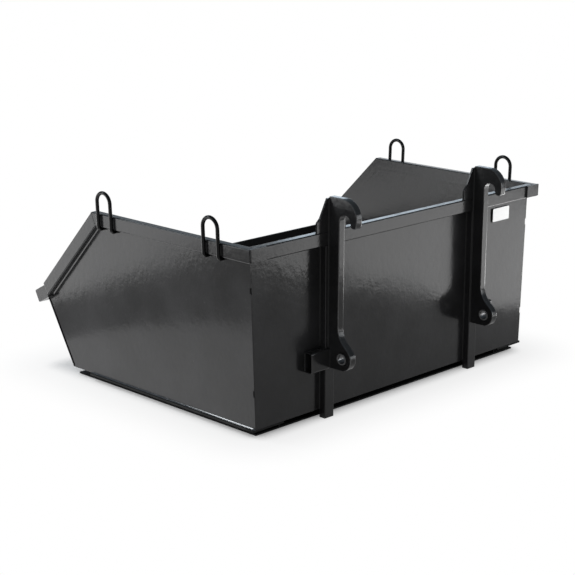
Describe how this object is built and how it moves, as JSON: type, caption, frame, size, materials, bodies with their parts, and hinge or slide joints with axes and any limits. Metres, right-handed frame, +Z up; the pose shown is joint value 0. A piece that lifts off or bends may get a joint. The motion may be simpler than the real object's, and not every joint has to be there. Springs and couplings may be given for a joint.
{
  "type": "wheel loader container",
  "caption": "Open steel bin with sloped front and tipping lip, coupler hooks and pin eyes on the back wall, lifting eyes on the rim and flat skids.",
  "frame": {"origin": "middle of the underside, on the ground", "axes": "+X across the bin to its right side as seen from the loader, +Y from the hooks to the tipping lip, +Z up"},
  "size_m": [2.6152, 2.1813, 1.3],
  "materials": {
    "black_paint": "satin black paint on welded steel, faintly uneven",
    "bush_steel": "machined steel, bare in the bore"
  },
  "bodies": {
    "root": {"back_rim": "black_paint", "back_wall": "black_paint", "floor_plate": "black_paint", "front_lip": "black_paint", "front_skid_shoe": "black_paint", "front_skid_web": "black_paint", "front_wall": "black_paint", "left_corner_plate": "black_paint", "left_eye_bracket": "black_paint", "left_floor_bearer": "black_paint", "left_front_lifting_eye": "black_paint", "left_gable": "black_paint", "left_gable_rim": "black_paint", "left_hook_backing": "black_paint", "left_hook_plate": "black_paint", "left_lip_cap": "black_paint", "left_pin_bush": "bush_steel", "left_post": "black_paint", "left_rear_lifting_eye": "black_paint", "left_skid_shoe": "black_paint", "left_skid_sill": "black_paint", "left_skid_web": "black_paint", "left_slope_rim": "black_paint", "rear_skid_shoe": "black_paint", "rear_skid_web": "black_paint", "right_corner_plate": "black_paint", "right_eye_bracket": "black_paint", "right_floor_bearer": "black_paint", "right_front_lifting_eye": "black_paint", "right_gable": "black_paint", "right_gable_rim": "black_paint", "right_hook_backing": "black_paint", "right_hook_plate": "black_paint", "right_lip_cap": "black_paint", "right_pin_bush": "bush_steel", "right_post": "black_paint", "right_rear_lifting_eye": "black_paint", "right_skid_shoe": "black_paint", "right_skid_sill": "black_paint", "right_skid_web": "black_paint", "right_slope_rim": "black_paint"}
  },
  "joints": []
}
